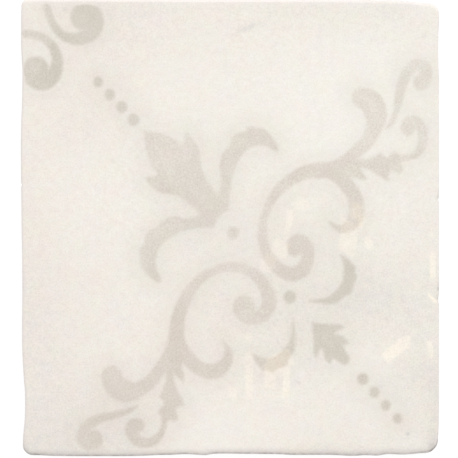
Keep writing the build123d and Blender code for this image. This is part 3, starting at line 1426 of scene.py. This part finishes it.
        # This attribute carries painted shade on the outer bottom arris and lower corners, and stains at the
        # nicks.
        outermost = np.interp(self.ring / self.arris_rings, self.wear_and_shade_span, (0.0, 1.0))
        worn_and_shaded = outermost * spread(self.painted_bottom_shade, at) + spread(self.stains_and_corner_shade, at)
        worn_and_shaded *= np.clip(1 + self.arris_rings - self.ring, 0, 1)
        self._note({"print_depth": depth, "print_strength": strength, "print_warmth": warmth})
        self._note({"rim": rim, "tone_and_painted_light": spread(self.glaze_tone_and_painted_light + self.smudges, at), "worn_and_shaded": worn_and_shaded, "blush": blush})
        for name in ("across", "up"):
            self.piece.data.attributes.remove(self.piece.data.attributes[name])

    def _finish_mesh(self) -> None:
        """Turns the faces outwards, smooths their shading and gives the piece its finish and its body."""
        bpy.ops.object.mode_set(mode="EDIT")
        bpy.ops.mesh.select_all(action="SELECT")
        bpy.ops.mesh.normals_make_consistent(inside=False)
        bpy.ops.object.mode_set(mode="OBJECT")
        bpy.ops.object.shade_smooth_by_angle(angle=math.radians(self.sharp_angle))
        self.piece.data.materials.clear()
        self.piece.data.materials.append(self.finish.material())
        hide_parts(self.node)
        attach(self.piece, "root")


def hang_panel(name: str, size: Point, watts: float, colour: Colour) -> bpy.types.Object:
    """Adds a soft panel of light that shines straight down.

    Args:
        name: The panel's name.
        size: Its width and height, in metres.
        watts: Its power.
        colour: Its colour.

    Returns:
        The panel.
    """
    light = bpy.data.lights.new(name, "AREA")
    light.shape = "RECTANGLE"
    light.size, light.size_y = size
    light.energy = watts
    light.color = colour
    panel = bpy.data.objects.new(name, light)
    bpy.context.collection.objects.link(panel)
    return panel


@dataclass(frozen=True)
class Lamp:
    """A soft panel of light: where it hangs, what it points at, its size, power and colour."""

    name: str
    place: tuple[float, float, float]
    size: Point
    watts: float
    colour: Colour = (1.0, 1.0, 1.0)
    aim: tuple[float, float, float] = (0.0, 0.0, 0.0)

    def hang(self) -> None:
        """Hangs the lamp and turns it towards its aim."""
        lamp = hang_panel(self.name, self.size, self.watts, self.colour)
        lamp.location = self.place
        towards = np.array(self.aim) - np.array(self.place)
        lamp.rotation_euler = (
            math.atan2(math.hypot(towards[0], towards[1]), -towards[2]),
            0.0,
            math.atan2(towards[1], towards[0]) - math.pi / 2,
        )


@dataclass(frozen=True)
class GlazeMirror:
    """The glazed face as a mirror over which the room's window stands.

    Attributes:
        points: Points of the face, in metres, one row each.
        normals: Which way the face looks at each of them.
        eye: The camera's place.
        height: The window's height above the floor.
        blend: How far round a place the face's slope is averaged.
    """

    points: np.ndarray
    normals: np.ndarray
    eye: np.ndarray
    height: float
    blend: float = 1.2 * MM

    @classmethod
    def of_face(
        cls, tile: bpy.types.Object, eye: np.ndarray, height: float, upright: float = 0.998
    ) -> "GlazeMirror":
        """Takes the mirror from the tile.

        Args:
            tile: The tile.
            eye: The camera's place, in metres.
            height: The window's height above the floor.
            upright: How far up a point has to look to belong to the mirror, with 1 for straight up.

        Returns:
            The mirror.
        """
        normals = read_rows(tile.data.vertex_normals, "vector", 3)
        upward = normals[:, 2] > upright
        return cls(read_rows(tile.data.vertices, "co", 3)[upward], normals[upward], eye, height)

    def source(self, place: np.ndarray) -> np.ndarray:
        """Finds the place at the window's height that the camera sees mirrored at a place of the face.

        Args:
            place: The place on the face, in millimetres.

        Returns:
            The mirrored place, in metres.
        """
        away = np.hypot(*(self.points[:, :2] - place * MM).T)
        near = away <= max(away.min(), self.blend)
        foot = self.points[near].mean(axis=0)
        normal = self.normals[near].mean(axis=0)
        normal /= np.linalg.norm(normal)
        sight = (self.eye - foot) / np.linalg.norm(self.eye - foot)
        ray = 2 * (normal @ sight) * normal - sight
        return foot + ray * (self.height - foot[2]) / ray[2]


@dataclass(frozen=True)
class Pane:
    """One pane of the room's window, given by its mirror image in the glaze.

    Attributes:
        place: The middle of the image on the face, in millimetres.
        size: The image's width and height.
        turn: How far it is turned to the left, in degrees.
        glow: How bright the pane is, against the window's own brightness.
    """

    place: Point
    size: Point
    turn: float = 0.0
    glow: float = 1.0

    def hang(self, mirror: GlazeMirror, brightness: float, colour: Colour) -> None:
        """Hangs the pane where the glaze mirrors it at its place.

        Args:
            mirror: The glazed face.
            brightness: The window's brightness.
            colour: The light's colour.
        """
        place = np.array(self.place)
        lean = math.radians(self.turn)
        half_width = np.array([math.cos(lean), math.sin(lean)]) * self.size[0] / 2
        half_height = np.array([-math.sin(lean), math.cos(lean)]) * self.size[1] / 2
        across = mirror.source(place + half_width) - mirror.source(place - half_width)
        rise = mirror.source(place + half_height) - mirror.source(place - half_height)
        size = (np.linalg.norm(across), np.linalg.norm(rise))
        watts = self.glow * brightness * math.pi * size[0] * size[1]
        panel = hang_panel("pane", size, watts, colour)
        panel.location = mirror.source(place)
        panel.rotation_euler = (0.0, 0.0, math.atan2(-rise[0], rise[1]))
        panel.visible_camera = False


@dataclass
class Studio:
    """The pale floor, the soft light, a window's panes and the camera straight above the tile.

    Attributes:
        frame_px: The picture's width and height in pixels.
        tile_px: The tile's length in the picture, in pixels.
        centre_px: The tile's middle in the picture, in pixels from the left and the top.
        lens: The camera's focal length, in millimetres.
        sensor: The width of its sensor.
        floor_size: The floor's length and width, in metres.
        floor_pale: The floor's grey, for the light that it throws back.
        floor_faint: The grey of the shadow on it, for the eye.
        floor_glow: How white it is to the eye besides.
        sky: How bright the room is.
        lamps: The lamps.
        window_height: The window's height above the floor, in metres.
        window_colour: The colour of its light.
        window_glow: Its brightness.
        panes: The window's panes.
    """

    frame_px: int = 458
    tile_px: float = 457.3
    centre_px: Point = (229.87, 227.95)
    lens: float = 300.0
    sensor: float = 36.0
    floor_size: float = 6.0
    floor_pale: float = 0.8
    floor_faint: float = 0.15
    floor_glow: float = 0.905
    sky: float = 0.675
    lamps: tuple[Lamp, ...] = (
        Lamp("key", (0.3, 1.7, 1.7), (3.0, 2.2), 38.4),
        Lamp("fill", (1.8, 0.0, 1.0), (1.4, 1.4), 1.5),
    )
    window_height: float = 0.12
    window_colour: Colour = (1.0, 0.72, 0.36)
    window_glow: float = 1.5
    panes: tuple[Pane, ...] = (
        Pane((33.7, -2.9), (4.5, 9.2), -8.0, 1.05),
        Pane((36.0, 4.7), (2.8, 5.0), -10.0, 1.1),
        Pane((31.9, 3.1), (1.2, 2.0), 0.0, 0.8),
        Pane((37.4, 2.0), (1.6, 3.4), -20.0, 1.4),
        Pane((39.5, -4.4), (2.0, 2.8), 0.0, 1.3),
        Pane((57.65, -10.7), (0.9, 7.4), 0.0, 1.6),
        Pane((57.0, -34.3), (1.4, 4.8), 8.0, 1.25),
        Pane((57.6, -20.1), (0.8, 3.4), 45.0, 2.2),
        Pane((57.6, -1.4), (0.4, 3.2), 0.0, 1.0),
        Pane((47.0, -34.7), (7.8, 3.4), 35.0, 1.45),
        Pane((50.5, -32.5), (1.9, 3.6), 0.0, 1.2),
        Pane((16.8, 1.2), (1.9, 8.5), -9.0, 0.92),
        Pane((20.4, 6.5), (4.6, 2.8), 15.0, 0.75),
        Pane((14.3, -5.7), (4.6, 4.6), -20.0, 1.1),
        Pane((10.9, -9.9), (3.4, 5.2), -28.0, 1.0),
        Pane((5.5, -42.2), (2.1, 13.5), 0.0, 1.1),
        Pane((5.2, -31.4), (2.3, 2.8), 0.0, 0.7),
        Pane((11.4, -42.4), (3.2, 6.8), 0.0, 1.3),
        Pane((0.9, -46.8), (2.2, 3.0), 0.0, 0.9),
        Pane((16.1, -43.0), (2.0, 11.0), 0.0, 1.15),
        Pane((14.2, -38.0), (6.8, 4.8), 25.0, 1.45),
        Pane((14.6, -41.0), (3.2, 2.2), 0.0, 0.7),
        Pane((13.8, -47.9), (6.0, 1.2), 0.0, 0.45),
    )

    def set_up(self, tile: bpy.types.Object) -> None:
        """Lays the floor, hangs the lamps and sets the camera.

        Args:
            tile: The tile, whose glaze mirrors the window.
        """
        bpy.context.scene.view_settings.view_transform = "Standard"
        self._lay_floor()
        self._light_room()
        for lamp in self.lamps:
            lamp.hang()
        eye = np.array(self._set_camera().location)
        mirror = GlazeMirror.of_face(tile, eye, self.window_height)
        for pane in self.panes:
            pane.hang(mirror, self.window_glow, self.window_colour)

    def _lay_floor(self) -> None:
        """Adds the floor: white to the eye, with a faint shadow, and clear from below."""
        bpy.ops.object.select_all(action="DESELECT")
        bpy.ops.mesh.primitive_plane_add(size=self.floor_size)
        floor = bpy.context.object
        floor.name = "floor"
        made = bpy.data.materials.new("pale_floor")
        made.use_nodes = True
        sheet = NodeSheet(made.node_tree)
        pale = sheet.node("ShaderNodeBsdfDiffuse", {}, {"Color": grey(self.floor_pale)})
        faint = sheet.node("ShaderNodeBsdfDiffuse", {}, {"Color": grey(self.floor_faint)})
        glow = sheet.node("ShaderNodeEmission", {}, {"Color": grey(1.0), "Strength": self.floor_glow})
        seen = sheet.node("ShaderNodeAddShader", {}, {0: glow.outputs[0], 1: faint.outputs[0]})
        looked_at = self._looked_at(sheet)
        shown = sheet.node("ShaderNodeMixShader", {}, {0: looked_at, 1: pale.outputs[0], 2: seen.outputs[0]})
        clear = sheet.node("ShaderNodeBsdfTransparent")
        below = sheet.signal("ShaderNodeNewGeometry", "Backfacing")
        whole = sheet.node("ShaderNodeMixShader", {}, {0: below, 1: shown.outputs[0], 2: clear.outputs[0]})
        sheet.output("ShaderNodeOutputMaterial", whole)
        floor.data.materials.append(made)

    @staticmethod
    def _looked_at(sheet: NodeSheet) -> Signal:
        """Is 1 where a ray comes from the camera, a mirror or glass, and 0 where it only carries light.

        Args:
            sheet: The node sheet to draw on.

        Returns:
            The value.
        """
        path = sheet.node("ShaderNodeLightPath")
        camera = Signal(sheet, path.outputs["Is Camera Ray"])
        glossy = Signal(sheet, path.outputs["Is Glossy Ray"])
        through = Signal(sheet, path.outputs["Is Transmission Ray"])
        return (camera + glossy + through).between(0.0, 1.0)

    def _light_room(self) -> None:
        """Makes the room: an even soft sky, white where the camera looks past the floor."""
        world = bpy.data.worlds.new("studio")
        bpy.context.scene.world = world
        world.use_nodes = True
        sheet = NodeSheet(world.node_tree)
        camera = Signal(sheet, sheet.node("ShaderNodeLightPath").outputs["Is Camera Ray"])
        strength = self.sky + camera * (1.0 - self.sky)
        room = sheet.node("ShaderNodeBackground", {}, {"Color": grey(1.0), "Strength": strength})
        sheet.output("ShaderNodeOutputWorld", room)

    def _set_camera(self) -> bpy.types.Object:
        """Puts the camera straight above the tile, with the tile where the picture has it.

        Returns:
            The camera.
        """
        low, high = CAD_BOX
        pixel = (high[1] - low[1]) / self.tile_px
        face = high[2]
        camera = bpy.data.cameras.new("camera")
        camera.lens = self.lens
        camera.sensor_width = self.sensor
        seat = bpy.data.objects.new("camera", camera)
        seat.location = (
            (self.frame_px / 2 - self.centre_px[0]) * pixel,
            (self.centre_px[1] - self.frame_px / 2) * pixel,
            face + self.frame_px * pixel * self.lens / self.sensor,
        )
        bpy.context.collection.objects.link(seat)
        bpy.context.scene.camera = seat
        return seat


def main() -> None:
    """Builds the tile and its studio."""
    logging.basicConfig(level=logging.INFO, format="%(name)s: %(message)s")
    tile = GlazedTile().build()
    LOG.info("%s: %d faces", tile.name, len(tile.data.polygons))
    Studio().set_up(tile)
    LOG.info("boxes written")


if __name__ == "__main__":
    main()
